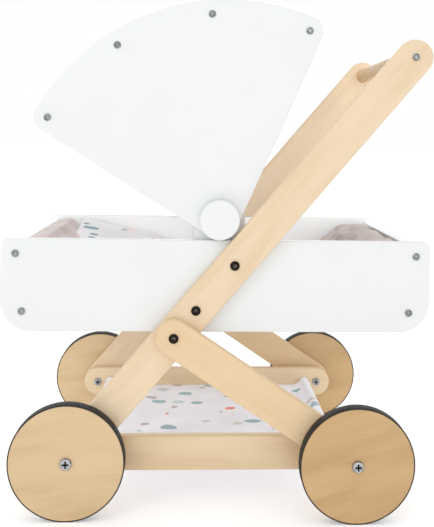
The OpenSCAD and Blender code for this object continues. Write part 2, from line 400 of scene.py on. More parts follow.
@dataclass(frozen=True)
class BirchVeneer(Finish):
    """Rotary-cut birch face veneer under clear matt lacquer: pale, with long soft fibre streaks.

    The eye sees an almost even cream, faint clouds a few centimetres long and short fine flecks.
    """

    pale: str = "#e5ceae"
    mid: str = "#e1c8a8"
    dark: str = "#d9be9b"
    slope: float = 0.0
    streak_mm: float = 3.2
    streak_length_mm: float = 90.0

    def paint(self, tree: bpy.types.NodeTree, shader: Any) -> None:
        """Fibres along the slope, clouds between them and a faint raised grain."""
        along = place_of(tree, (0, self.slope, 0))
        wander = add_node(
            tree, "TexNoise", {"Vector": along, "Scale": per(70), "Detail": 2.0}
        ).outputs["Color"]
        bent = add_node(
            tree, "VectorMath", {0: wander, 1: (0.006, 0.006, 0.006), 2: along},
            operation="MULTIPLY_ADD",
        ).outputs[0]
        across = per(self.streak_mm)
        fibres = add_node(
            tree, "TexNoise",
            {"Vector": stretched(tree, bent, (per(self.streak_length_mm), across, across)),
             "Scale": 1.0, "Detail": 5.0, "Roughness": 0.62},
        ).outputs["Fac"]
        clouds = add_node(
            tree, "TexNoise",
            {"Vector": stretched(tree, bent, (per(130), per(26), per(26))), "Scale": 1.0,
             "Detail": 2.0},
        ).outputs["Fac"]
        tone = maths(tree, "MULTIPLY_ADD", fibres, 0.3)
        tree.links.new(maths(tree, "MULTIPLY", clouds, 0.7), tone.node.inputs[2])
        colour = ramp(tree, tone, [(0.36, self.dark), (0.5, self.mid), (0.66, self.pale)])
        flecks = add_node(
            tree, "TexVoronoi",
            {"Vector": stretched(tree, bent, (per(9), per(2.2), per(2.2))), "Scale": 1.0},
        ).outputs["Distance"]
        fleck = ramp(tree, flecks, [(0.10, "#5a5a5a"), (0.17, "#000000")])
        darker = add_node(
            tree, "Mix", {0: maths(tree, "MULTIPLY", fleck, 0.25), 6: colour, 7: linear(self.dark)},
            data_type="RGBA",
        ).outputs[2]
        tree.links.new(darker, shader["Base Color"])
        emboss(tree, shader, fibres, 0.05, 0.3)
        vary_gloss(tree, shader, clouds, self.roughness - 0.06, self.roughness + 0.08)
        shader["Coat Weight"].default_value = 0.12
        shader["Coat Roughness"].default_value = 0.35


@dataclass(frozen=True)
class PlyEdge(Finish):
    """The sawn edge of birch plywood: thin plies, light along the grain and brown across it."""

    ply_mm: float = 1.45
    light: str = "#e9d3b0"
    brown: str = "#d6bb92"

    def paint(self, tree: bpy.types.NodeTree, shader: Any) -> None:
        """Bands across the thickness, roughened by end-grain pores."""
        here = place_of(tree)
        thickness = add_node(tree, "SeparateXYZ", {0: here}).outputs["Y"]
        uneven = mottle(tree, here, 14, 3.0)
        level = maths(tree, "MULTIPLY_ADD", uneven, 0.25 * MM * self.ply_mm)
        tree.links.new(thickness, level.node.inputs[2])
        ply = maths(tree, "PINGPONG", maths(tree, "MULTIPLY", level, per(self.ply_mm)), 1.0)
        bands = ramp(tree, ply, [(0.32, self.light), (0.55, self.brown)])
        pores = add_node(tree, "TexNoise", {"Vector": here, "Scale": per(1.1), "Detail": 2.0})
        spotted = add_node(
            tree, "Mix",
            {0: maths(tree, "MULTIPLY", pores.outputs["Fac"], 0.45), 6: bands,
             7: linear(self.light)},
            data_type="RGBA",
        ).outputs[2]
        tree.links.new(spotted, shader["Base Color"])
        emboss(tree, shader, pores.outputs["Fac"], 0.2, 0.3)


@dataclass(frozen=True)
class BeechDowel(Finish):
    """Turned beech rod under matt lacquer: warm tan, with the short dark flecks of its rays."""

    pale: str = "#d3b285"
    dark: str = "#bd9566"

    def paint(self, tree: bpy.types.NodeTree, shader: Any) -> None:
        """Grain along Y, the way every rod of the pram lies."""
        here = place_of(tree)
        grain = add_node(
            tree, "TexNoise",
            {"Vector": stretched(tree, here, (per(2.6), per(80), per(2.6))), "Scale": 1.0,
             "Detail": 4.0},
        ).outputs["Fac"]
        rays = add_node(
            tree, "TexVoronoi",
            {"Vector": stretched(tree, here, (per(1.8), per(7), per(1.8))), "Scale": 1.0},
        ).outputs["Distance"]
        tone = maths(tree, "MULTIPLY_ADD", rays, 0.3)
        tree.links.new(maths(tree, "MULTIPLY", grain, 0.8), tone.node.inputs[2])
        tree.links.new(
            ramp(tree, tone, [(0.36, self.dark), (0.62, self.pale)]), shader["Base Color"]
        )
        emboss(tree, shader, grain, 0.1, 0.3)
        shader["Coat Weight"].default_value = 0.15


@dataclass(frozen=True)
class WhiteLacquer(Finish):
    """White furniture lacquer sprayed on board: satin, even, with a very fine orange peel."""

    white: str = "#e2e4e4"
    shade: str = "#e0e2e2"
    peel_mm: float = 2.4

    def paint(self, tree: bpy.types.NodeTree, shader: Any) -> None:
        """A hardly visible drift of tone, and the peel as bump."""
        here = place_of(tree)
        drift = mottle(tree, here, 90, 2.0)
        tree.links.new(
            ramp(tree, drift, [(0.35, self.shade), (0.6, self.white)]), shader["Base Color"]
        )
        peel = mottle(tree, here, self.peel_mm, 1.0)
        emboss(tree, shader, peel, 0.05, 0.2)
        vary_gloss(tree, shader, drift, self.roughness - 0.04, self.roughness + 0.05)


@dataclass(frozen=True)
class PlatedSteel(Finish):
    """Steel under thin electroplate: a metal with soft mottling and hairline tool marks."""

    bright: str = "#bfc1c4"
    dull: str = "#919498"

    def paint(self, tree: bpy.types.NodeTree, shader: Any) -> None:
        """Mottled plate on a full metal."""
        shader["Metallic"].default_value = 1.0
        here = place_of(tree)
        patches = mottle(tree, here, 3.5, 3.0)
        tree.links.new(
            ramp(tree, patches, [(0.35, self.dull), (0.65, self.bright)]), shader["Base Color"]
        )
        vary_gloss(tree, shader, patches, self.roughness + 0.08, self.roughness - 0.05)
        emboss(tree, shader, patches, 0.06, 0.1)


@dataclass(frozen=True)
class BandRubber(Finish):
    """Black rubber band: matt, slightly dusty where it has rolled."""

    black: str = "#0d0c0c"
    dusty: str = "#1a1818"

    def paint(self, tree: bpy.types.NodeTree, shader: Any) -> None:
        """Dust in patches, and a fine moulded grain."""
        here = place_of(tree)
        dust = mottle(tree, here, 18, 4.0)
        tree.links.new(
            ramp(tree, dust, [(0.4, self.black), (0.75, self.dusty)]), shader["Base Color"]
        )
        grain = mottle(tree, here, 0.9, 1.0)
        emboss(tree, shader, grain, 0.25, 0.2)


class ClothMap(Enum):
    """Where a cloth's pattern is read: on its own flat cut, or through the room."""

    FLAT_CUT = "UV"
    THROUGH = "Object"


@dataclass(frozen=True)
class Cotton(Finish):
    """Plain-weave cotton: matt, with a soft sheen at grazing angles and a visible thread.

    The threads of 0.4 mm are drawn at 1.3 mm, since they are too fine to show.
    """

    ground: str = "#cbbfbd"
    shade: str = "#b9aaa6"
    mapping: ClothMap = ClothMap.THROUGH
    thread_mm: float = 1.3
    sheen: float = 0.25

    def pattern(self, tree: bpy.types.NodeTree, place: Any, cloth: Any) -> Any:
        """The colour over the dyed ground. Plain cloth has no print."""
        return cloth

    def paint(self, tree: bpy.types.NodeTree, shader: Any) -> None:
        """The dyed ground, its print, and the weave as bump."""
        place = add_node(tree, "TexCoord").outputs[self.mapping.value]
        clouds = mottle(tree, place, 45, 3.0)
        cloth = ramp(tree, clouds, [(0.35, self.shade), (0.62, self.ground)])
        tree.links.new(self.pattern(tree, place, cloth), shader["Base Color"])
        axes = add_node(tree, "SeparateXYZ", {0: place}).outputs
        pitch = per(self.thread_mm) * math.pi
        waves = [maths(tree, "SINE", maths(tree, "MULTIPLY", axes[i], pitch)) for i in range(3)]
        weave = maths(tree, "MULTIPLY", waves[0], waves[1])
        weave = maths(tree, "ADD", weave, maths(tree, "MULTIPLY", waves[2], 0.4))
        slubs = mottle(tree, place, 2.5, 2.0)
        height = maths(tree, "MULTIPLY_ADD", slubs, 1.6)
        tree.links.new(weave, height.node.inputs[2])
        emboss(tree, shader, height, 0.22, 0.25)
        shader["Sheen Weight"].default_value = self.sheen
        shader["Sheen Roughness"].default_value = 0.5
        shader["Specular IOR Level"].default_value = 0.25


@dataclass(frozen=True)
class PebblePrint(Cotton):
    """Pale cotton with a screen print of loose pebbles and short dashes in soft inks."""

    ground: str = "#e3e2e6"
    shade: str = "#dbd9dd"
    pebble_mm: float = 42.0
    shift: tuple[float, float, float] = (0.0, 0.0, 0.0)
    inks: tuple[tuple[float, str], ...] = (
        (0.0, "#7fa3ab"), (0.20, "#b3a09c"), (0.34, "#f0693c"), (0.46, "#c3d0d3"),
        (0.60, "#d1c6c0"), (0.72, "#8fb0b6"), (0.84, "#c9c7c9"),
    )

    def pattern(self, tree: bpy.types.NodeTree, place: Any, cloth: Any) -> Any:
        """Two sizes of pebble, then dashes, laid over the ground."""
        moved = add_node(tree, "Mapping", {"Vector": place, "Location": self.shift}).outputs[0]
        wobble = add_node(
            tree, "TexNoise", {"Vector": moved, "Scale": per(28), "Detail": 1.0}
        ).outputs["Color"]
        warped = add_node(
            tree, "VectorMath", {0: wobble, 1: (0.014, 0.014, 0.014), 2: moved},
            operation="MULTIPLY_ADD",
        ).outputs[0]
        large = (per(self.pebble_mm), per(self.pebble_mm * 0.72), per(self.pebble_mm))
        small = (per(self.pebble_mm * 0.62), per(self.pebble_mm * 0.8), per(self.pebble_mm * 0.7))
        cloth = self.print_spots(tree, warped, cloth, large, 0.22, 0.12, 0.08)
        cloth = self.print_spots(tree, warped, cloth, small, 0.09, 0.12, 0.45)
        dashes = (per(52), per(11), per(30))
        return self.print_spots(tree, moved, cloth, dashes, 0.09, 0.10, 0.55, "#c2bfc1")

    def print_spots(
        self, tree: bpy.types.NodeTree, place: Any, cloth: Any, scale: Sequence[float],
        least: float, more: float, missing: float, ink: str | None = None,
    ) -> Any:
        """Prints one spot in each cell of a loose grid.

        Args:
            tree: The node tree.
            place: The point on the cloth.
            cloth: The colour underneath.
            scale: Cells per metre along each axis.
            least: The smallest spot, as a part of a cell.
            more: How much larger a spot can be.
            missing: The part of the cells that stay bare.
            ink: The ink, or None to draw one for each spot.

        Returns:
            The colour with the spots on it.
        """
        cells = add_node(
            tree, "TexVoronoi",
            {"Vector": stretched(tree, place, scale), "Scale": 1.0, "Randomness": 0.72},
        )
        chance = add_node(tree, "SeparateColor", {0: cells.outputs["Color"]}).outputs
        radius = maths(tree, "MULTIPLY_ADD", chance["Green"], more)
        radius.node.inputs[2].default_value = least
        depth = maths(tree, "SUBTRACT", radius, cells.outputs["Distance"])
        spot = maths(tree, "MULTIPLY", depth, 1 / 0.02)
        spot.node.use_clamp = True
        spot = maths(tree, "MULTIPLY", spot, maths(tree, "GREATER_THAN", chance["Blue"], missing))
        colour = linear(ink) if ink else ramp(tree, chance["Red"], self.inks, step=True)
        cover = maths(tree, "MULTIPLY", spot, 0.92)
        return add_node(tree, "Mix", {0: cover, 6: cloth, 7: colour}, data_type="RGBA").outputs[2]


class Finishes:
    """The pram's finishes, one of each."""

    # The legs, rails and wheels are darker copies of the arm's veneer, and the rear wheels are darkest.
    # This is partly their own veneer and partly painted shade, for light that falls from above and from the
    # left.
    ARM = BirchVeneer("birch_veneer_arm", "birch_plywood", 0.46, slope=49.7,
                      pale="#e3ceae", mid="#dfc8a9", dark="#d8bf9d")
    LEG = BirchVeneer("birch_veneer_leg", "birch_plywood", 0.46, slope=-33.6,
                      pale="#ddc29c", mid="#d9bd95", dark="#d2b48a")
    RAIL = BirchVeneer("birch_veneer_rail", "birch_plywood", 0.46,
                       pale="#ddc7a5", mid="#d9c19e", dark="#d2b793")
    FRONT_WHEEL = BirchVeneer("birch_veneer_front_wheel", "birch_plywood", 0.5, slope=8.0,
                              pale="#d2b890", mid="#cdb289", dark="#c4a77d")
    REAR_WHEEL = BirchVeneer("birch_veneer_rear_wheel", "birch_plywood", 0.5, slope=17.0,
                             pale="#c6a577", mid="#c09e70", dark="#b69263")
    PLY_EDGE = PlyEdge("birch_plywood_edge", "birch_plywood", 0.55)
    DOWEL = BeechDowel("beech_dowel_lacquered", "beech_dowel", 0.42)
    WHITE = WhiteLacquer("white_satin_lacquer", "white_lacquer", 0.36)
    ZINC = PlatedSteel("bright_zinc_plate", "zinc_plated_steel", 0.26)
    DULL_ZINC = PlatedSteel("dull_zinc_plate", "zinc_plated_steel", 0.34, bright="#9c9e9f",
                            dull="#727476")
    NICKEL = PlatedSteel("black_nickel_plate", "dark_nickel_steel", 0.3, bright="#302a28",
                         dull="#1a1716")
    BROWNED = PlatedSteel("browned_nickel_steel", "dark_nickel_steel", 0.45, bright="#7d7066",
                          dull="#473f3a")
    # Not a finish of the steel: a near-black painted shade for the recesses and the band under the heads'
    # rims.
    PAINTED_SHADE_STEEL = PlatedSteel("oiled_black_steel", "zinc_plated_steel", 0.5, bright="#3a3735",
                        dull="#221f1d")
    RUBBER = BandRubber("black_band_rubber", "black_rubber", 0.62)
    MAUVE = Cotton("mauve_cotton_padded", "mauve_cotton", 0.9)
    TAUPE = Cotton("taupe_cotton_blanket", "mauve_cotton", 0.9, ground="#bdafaa",
                   shade="#a79994")
    # The shelf's copy of the print has a lighter ground than the hood's. This is painted light, which lifts
    # the cloth that lies in the shade under the tray.
    PRINT_SHELF = PebblePrint("pebble_print_cotton_shelf", "dotted_cotton", 0.85,
                              mapping=ClothMap.FLAT_CUT, ground="#f0eef4", shade="#e9e7ed",
                              pebble_mm=36.0)
    PRINT_HOOD = PebblePrint("pebble_print_cotton_hood", "dotted_cotton", 0.85,
                             mapping=ClothMap.FLAT_CUT, shift=(0.31, 0.12, 0.0))
    PRINT_COVER = PebblePrint("pebble_print_cotton_cover", "dotted_cotton", 0.85,
                              shift=(0.02, 0.05, 0.0), pebble_mm=36.0,
                              inks=((0.0, "#5f8f9b"), (0.5, "#f0693c"), (0.66, "#6f9aa4")))


def dress(obj: bpy.types.Object, finish: Finish, edge: Finish | None = None) -> None:
    """Gives a piece its finish, and another one on the faces across a board's thickness.

    Args:
        obj: The piece.
        finish: The finish of its faces.
        edge: The finish of its sawn edges, if it is another.
    """
    obj.data.materials.clear()
    obj.data.materials.append(finish.material())
    if edge is not None:
        obj.data.materials.append(edge.material())
        for polygon in obj.data.polygons:
            polygon.material_index = int(abs(polygon.normal.y) < 0.1)


def fit(obj: bpy.types.Object, body: str, finish: Finish, *nodes: str) -> None:
    """Fixes a finished piece to its body, in place of its CAD nodes.

    Args:
        obj: The piece.
        body: The CAD body that carries it.
        finish: The piece's finish; not used.
        nodes: The CAD nodes that it stands for.
    """
    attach(obj, body)
    if nodes:
        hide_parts(*nodes)
    LOG.info("%s rides on %s: %d faces", obj.name, body, len(obj.data.polygons))


def dress_node(node: str, finish: Finish) -> None:
    """Gives a CAD node that stays in view its finish."""
    dress(frame["nodes"][node], finish)


# ---------------------------------------------------------------- frame of boards


@dataclass
class Slat:
    """A board with two round ends, which fills the box of its CAD node."""

    node: str
    finish: Finish
    width: float
    rises: bool = True
    edge: float = 2.2 * MM
    end_steps: int = 28

    def outline(self) -> list[Point]:
        """The outline, counter-clockwise, from the lower half-round to the upper one."""
        low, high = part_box(self.node)
        r = self.width / 2
        ends = (low.x + r, high.x - r)
        levels = (low.z + r, high.z - r) if self.rises else (high.z - r, low.z + r)
        slope = math.degrees(math.atan2(levels[1] - levels[0], ends[1] - ends[0]))
        first = arc((ends[0], levels[0]), r, slope + 90, slope + 270, self.end_steps)
        return first + arc((ends[1], levels[1]), r, slope - 90, slope + 90, self.end_steps)

    def build(self) -> None:
        """Saws the slat, dresses it and fixes it to the frame."""
        low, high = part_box(self.node)
        obj = Board(f"{self.node}_board", self.outline(), low.y, high.y, self.edge, 4).saw()
        dress(obj, self.finish, Finishes.PLY_EDGE)
        fit(obj, "frame", self.finish, self.node)


@dataclass
class Rod:
    """A round rod along Y, which fills the box of its CAD node, with eased ends."""

    node: str
    body: str = "frame"
    ease: float = 0.8 * MM
    facets: int = 48

    def build(self) -> None:
        """Turns the rod, eases its ends, dresses it and fixes it to its body."""
        low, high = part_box(self.node)
        bpy.ops.mesh.primitive_cylinder_add(
            vertices=self.facets, radius=(high.x - low.x) / 2, depth=high.y - low.y,
            location=(low + high) / 2, rotation=(math.pi / 2, 0, 0),
        )
        obj = named(f"{self.node}_rod")
        settle(obj)
        with editing(obj, "EDGE") as mesh:
            pick(obj, mesh.edges, lambda e: abs(e.verts[0].co.y - e.verts[1].co.y) < 1e-6)
            bpy.ops.mesh.bevel(offset=self.ease, segments=2, affect="EDGES")
        smooth(obj)
        dress(obj, Finishes.DOWEL)
        fit(obj, self.body, Finishes.DOWEL, self.node)


@dataclass
class BoardFrame:
    """The sloping arms, the legs, the lower rails, the grip and the shelf's rods."""

    arm_width: float = 41.5 * MM
    rail_height: float = 40 * MM

    def build(self) -> None:
        """Builds every board and rod of the frame."""
        for side in SIDES:
            Slat(f"handle_arm_{side}", Finishes.ARM, self.arm_width).build()
            # The legs and rails take darker copies of the veneer: partly their own tone, partly painted
            # shade.
            Slat(f"leg_{side}", Finishes.LEG, self.arm_width, rises=False).build()
            Slat(f"lower_rail_{side}", Finishes.RAIL, self.rail_height).build()
        for node in ("handle_grip", "shelf_rod_front", "shelf_rod_rear"):
            Rod(node).build()
        dress_node("rear_axle_spacers", Finishes.RAIL)


# ---------------------------------------------------------------- tray


@dataclass
class Tray:
    """The white box: two shaped side panels, two leaning end boards, a floor and two brackets."""

    low_corner: float = 37 * MM
    top_corner: float = 9.5 * MM
    panel: float = 10 * MM
    lean: float = 7.0
    edge: float = 1.4 * MM

    def side_outline(self, low: Vector, high: Vector) -> list[Point]:
        """The side panel: large round corners below and small ones above."""
        big, little = self.low_corner, self.top_corner
        return (
            arc((low.x + big, low.z + big), big, 180, 270, 16)
            + arc((high.x - big, low.z + big), big, 270, 360, 16)
            + arc((high.x - little, high.z - little), little, 0, 90, 8)
            + arc((low.x + little, high.z - little), little, 90, 180, 8)
        )

    def end_outline(self, low: Vector, high: Vector, way: int) -> list[Point]:
        """The end board on edge: a strip of the panel's thickness that leans outwards."""
        turn = math.radians(self.lean)
        across = (self.panel * math.cos(turn), self.panel * math.sin(turn))
        if way > 0:
            outer_top = (high.x, high.z - across[1])
            inner_low = (low.x, low.z + across[1])
            points = [(low.x + across[0], low.z), outer_top, (high.x - across[0], high.z), inner_low]
        else:
            outer_top = (low.x, high.z - across[1])
            inner_low = (high.x, low.z + across[1])
            points = [(high.x - across[0], low.z), inner_low, (low.x + across[0], high.z), outer_top]
        return points

    def build(self) -> None:
        """Builds the panels and dresses them in white lacquer."""
        for side in SIDES:
            node = f"tray_side_{side}"
            low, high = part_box(node)
            panel = Board(f"{node}_panel", self.side_outline(low, high), low.y, high.y, self.edge)
            self.finish(panel.saw(), node)
            self.build_bracket(f"hood_bracket_{side}")
        for end, way in (("front", -1), ("rear", 1)):
            node = f"tray_end_{end}"
            low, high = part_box(node)
            board = Board(
                f"{node}_board", self.end_outline(low, high, way), low.y, high.y, 0.0
            ).saw()
            self.ease_long_edges(board)
            self.finish(board, node)
        low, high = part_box("tray_floor")
        corners = [(low.x, low.z), (high.x, low.z), (high.x, high.z), (low.x, high.z)]
        self.finish(Board("tray_floor_board", corners, low.y, high.y, 0.0).saw(), "tray_floor")

    def ease_long_edges(self, obj: bpy.types.Object) -> None:
        """Rounds the edges of an end board that run across the tray."""
        with editing(obj, "EDGE") as mesh:
            pick(obj, mesh.edges, lambda e: abs(e.verts[0].co.y - e.verts[1].co.y) > self.panel)
            bpy.ops.mesh.bevel(offset=self.edge, segments=3, affect="EDGES")
        smooth(obj)

    def build_bracket(self, node: str) -> None:
        """Saws one upright that carries the hood: a strip with a half-round top."""
        low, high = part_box(node)
        r = (high.x - low.x) / 2
        middle = ((low.x + high.x) / 2, high.z - r)
        outline = [(low.x, low.z), (high.x, low.z)] + arc(middle, r, 0, 180, 32)
        self.finish(Board(f"{node}_upright", outline, low.y, high.y, self.edge).saw(), node)

    def finish(self, obj: bpy.types.Object, node: str) -> None:
        """Dresses one piece of the tray and fixes it in place of its CAD node."""
        dress(obj, Finishes.WHITE)
        fit(obj, "frame", Finishes.WHITE, node)


# ---------------------------------------------------------------- wheels


@dataclass
class Wheel:
    """A plywood disc with eased edges, and the rubber band stretched round it."""

    place: str
    finish: Finish
    edge: float = 0.9 * MM
    facets: int = 128

    def build(self) -> None:
        """Builds the disc and its band on the wheel's own body."""
        body = f"{self.place}_wheel"
        end, side = self.place.split("_")
        disc_node, band_node = f"wheel_{end}_{side}", f"tyre_{end}_{side}"
        disc_low, disc_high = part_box(disc_node)
        band_low, band_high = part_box(band_node)
        centre = (disc_low + disc_high) / 2
        radius = (disc_high.z - disc_low.z) / 2
        outline = arc((centre.x, centre.z), radius, 0, 360, self.facets)[:-1]
        disc = Board(f"{disc_node}_disc", outline, disc_low.y, disc_high.y, self.edge).saw()
        dress(disc, self.finish, Finishes.PLY_EDGE)
        fit(disc, body, self.finish, disc_node)
        band = self.build_band(band_node, centre, radius, (band_high.z - band_low.z) / 2)
        dress(band, Finishes.RUBBER)
        fit(band, body, Finishes.RUBBER, band_node)

    def build_band(
        self, node: str, centre: Vector, inner: float, outer: float
    ) -> bpy.types.Object:
        """Spins the band's section round the axle.

        Args:
            node: The band's CAD node.
            centre: The wheel's middle.
            inner: The radius of the wood under the band.
            outer: The band's outside radius.

        Returns:
            The band.
        """
        low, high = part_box(node)
        bpy.ops.mesh.primitive_plane_add(size=1)
        obj = named(f"{node}_band")
        half = (high.y - low.y) / 2
        corners = ((-half, inner), (half, inner), (-half, outer), (half, outer))
        for vertex, (y, r) in zip(obj.data.vertices, corners):
            vertex.co = (centre.x, centre.y + y, centre.z + r)
        with editing(obj, "VERT") as mesh:
            pick(obj, mesh.verts, lambda v: v.co.z > centre.z + inner + 1e-5)
            bpy.ops.mesh.bevel(offset=(outer - inner) * 0.55, segments=3, affect="VERTICES")
            bpy.ops.mesh.select_all(action="SELECT")
            bpy.ops.mesh.delete(type="ONLY_FACE")
            bpy.ops.mesh.select_all(action="SELECT")
            bpy.ops.mesh.spin(
                steps=self.facets, angle=math.tau, center=centre, axis=(0, 1, 0),
                use_auto_merge=True,
            )
        face_outwards(obj)
        smooth(obj, 50)
        return obj


# ---------------------------------------------------------------- fasteners


class Recess(Enum):
    """The driver's recess in a head."""

    CROSS = "cross"
    HEXAGON = "hexagon"
    NONE = "none"


@dataclass(frozen=True)
class Head:
    """The head of a screw, bolt or nut: its own model is made once and copied."""

    name: str
    radius: float
    height: float
    recess: Recess
    dome: float = 0.62
    facets: int = 40
    # the recess, as parts of the head's radius and height
    cross_length: float = 1.34
    cross_width: float = 0.34
    cross_depth: float = 0.65
    cross_taper: float = 0.6
    hexagon_radius: float = 0.5
    hexagon_depth: float = 0.7
    hexagon_taper: float = 0.94

    def model(self) -> bpy.types.Object:
        """Turns the head at the origin, standing on Z = 0, and cuts its recess.

        Returns:
            The head.
        """
        bpy.ops.mesh.primitive_cylinder_add(
            vertices=self.facets, radius=self.radius, depth=self.height,
            location=(0, 0, self.height / 2),
        )
        obj = named(self.name)
        settle(obj)
        with editing(obj, "EDGE") as mesh:
            pick(obj, mesh.edges, lambda e: min(v.co.z for v in e.verts) > self.height - 1e-6)
            bpy.ops.mesh.bevel(
                offset=self.height * self.dome, segments=5, affect="EDGES", clamp_overlap=False
            )
        if self.recess is not Recess.NONE:
            self.cut_recess(obj)
        smooth(obj, 40)
        return obj

    def cut_recess(self, obj: bpy.types.Object) -> None:
        """Cuts the recess with a tapered tool."""
        cross = self.recess is Recess.CROSS
        depth = self.cross_depth if cross else self.hexagon_depth
        taper = self.cross_taper if cross else self.hexagon_taper
        for turn in (0.0, math.pi / 2) if cross else (0.0,):
            if cross:
                bpy.ops.mesh.primitive_cube_add(size=1, rotation=(0, 0, turn))
                tool = named("recess_tool")
                tool.scale = (
                    self.radius * self.cross_length, self.radius * self.cross_width, self.height
                )
            else:
                bpy.ops.mesh.primitive_cylinder_add(
                    vertices=6, radius=self.radius * self.hexagon_radius, depth=self.height
                )
                tool = named("recess_tool")
            tool.location.z = self.height * (1.5 - depth)
            settle(tool)
            with editing(tool) as mesh:
                pick(tool, mesh.faces, lambda f: f.normal.z < -0.9)
                bpy.ops.transform.resize(value=(taper, 0.8, 1))
            modify(obj, "BOOLEAN", operation="DIFFERENCE", object=tool, solver="EXACT")
            bpy.data.objects.remove(tool, do_unlink=True)

    def coat(self, obj: bpy.types.Object, finish: Finish, inside: Finish) -> None:
        """Gives the head its finish, and another one in the recess and under the rim: by default a
        near-black painted shade.
        """
        obj.data.materials.append(finish.material())
        obj.data.materials.append(inside.material())
        # The recess and the band under the rim take the second finish, which by default paints their shade.
        for polygon in obj.data.polygons:
            out = math.hypot(polygon.center.x, polygon.center.y) / self.radius
            level = polygon.center.z / self.height
            in_recess = out < 0.7 and level < 0.97 and self.recess is not Recess.NONE
            polygon.material_index = int(in_recess or (out > 0.96 and level < 0.4))


@dataclass
class FastenerSet:
    """All the fasteners of one CAD node: the same head on each shaft that the node holds."""

    node: str
    head: Head
    finish: Finish
    body: str = "frame"
    heads_outside: bool = True
    inside: Finish | None = None

    def build(self) -> None:
        """Copies the head and adds a shaft at each place, then joins them to one piece."""
        pattern = self.head.model()
        # Unless the set names another finish, the recess and the band under the rim are painted near-black
        # as shade.
        self.head.coat(pattern, self.finish, self.inside or Finishes.PAINTED_SHADE_STEEL)
        pieces = []
        for low, high in solids_of(self.node):
            middle = (low + high) / 2
            side = 1 if middle.y > 0 else -1
            way = side if self.heads_outside else -side
            face_y = high.y if way > 0 else low.y
            head_y = face_y - way * self.head.height
            turn = Matrix.Rotation(-way * math.pi / 2, 4, "X")
            copy = bpy.data.objects.new(self.node, pattern.data.copy())
            bpy.context.collection.objects.link(copy)
            copy.matrix_world = Matrix.Translation((middle.x, head_y, middle.z)) @ turn
            settle(copy)
            pieces.append(copy)
            length = (high.y - low.y) - self.head.height
            if length > 0.5 * MM:
                pieces.append(self.shaft(middle, head_y, -way * length))
        bpy.data.objects.remove(pattern, do_unlink=True)
        take(*pieces)
        bpy.ops.object.join()
        whole = named(f"{self.node}_set")
        fit(whole, self.body, self.finish, self.node)

    def shaft(self, middle: Vector, head_y: float, reach: float) -> bpy.types.Object:
        """One shaft from a head's underside, with a pointed or eased end."""
        radius = self.head.radius * 0.47
        bpy.ops.mesh.primitive_cylinder_add(
            vertices=20, radius=radius, depth=abs(reach),
            location=(middle.x, head_y + reach / 2, middle.z), rotation=(math.pi / 2, 0, 0),
        )
        obj = named("shaft")
        settle(obj)
        with editing(obj) as mesh:
            tip = head_y + reach
            pick(obj, mesh.faces, lambda f: abs(f.calc_center_median().y - tip) < 1e-6)
            bpy.ops.mesh.bevel(offset=radius * 0.35, segments=1, affect="EDGES")
        smooth(obj, 40)
        dress(obj, self.finish)
        return obj


@dataclass
class Fasteners:
    """Every screw, bolt, nut and washer of the pram."""

    def build(self) -> None:
        """Builds each set on its body."""
        pan = Head("pan_head", 4.2 * MM, 2 * MM, Recess.CROSS)
        low_pan = Head("low_pan_head", 4.2 * MM, 1.5 * MM, Recess.CROSS)
        axle = Head("axle_head", 6.5 * MM, 3 * MM, Recess.CROSS)
        sleeve = Head("sleeve_head", 5.5 * MM, 2.5 * MM, Recess.CROSS)
        socket = Head("socket_head", 5.5 * MM, 3 * MM, Recess.HEXAGON)
        cap = Head("cap_nut", 5.5 * MM, 3 * MM, Recess.HEXAGON)
        dull, bright = Finishes.DULL_ZINC, Finishes.ZINC
        FastenerSet("tray_screws", pan, dull, inside=bright).build()
        FastenerSet("grip_screws", pan, dull, inside=bright).build()
        FastenerSet("bracket_screws", pan, dull, heads_outside=False).build()
        FastenerSet("hood_screws", low_pan, dull, body="hood", inside=bright).build()
        FastenerSet("axle_bolts", axle, Finishes.ZINC).build()
        FastenerSet("axle_nuts", sleeve, Finishes.ZINC, heads_outside=False).build()
        FastenerSet("arm_bolts", socket, Finishes.NICKEL, inside=Finishes.BROWNED).build()
        FastenerSet("leg_bolts", socket, Finishes.NICKEL, inside=Finishes.BROWNED).build()
        FastenerSet("arm_bolt_nuts", cap, Finishes.NICKEL, heads_outside=False).build()
        FastenerSet("hood_pivot_bolts", cap, Finishes.ZINC, heads_outside=False).build()
        dress_node("leg_bolt_inserts", Finishes.ZINC)
        dress_node("wheel_washers", Finishes.ZINC)


# ---------------------------------------------------------------- cloth


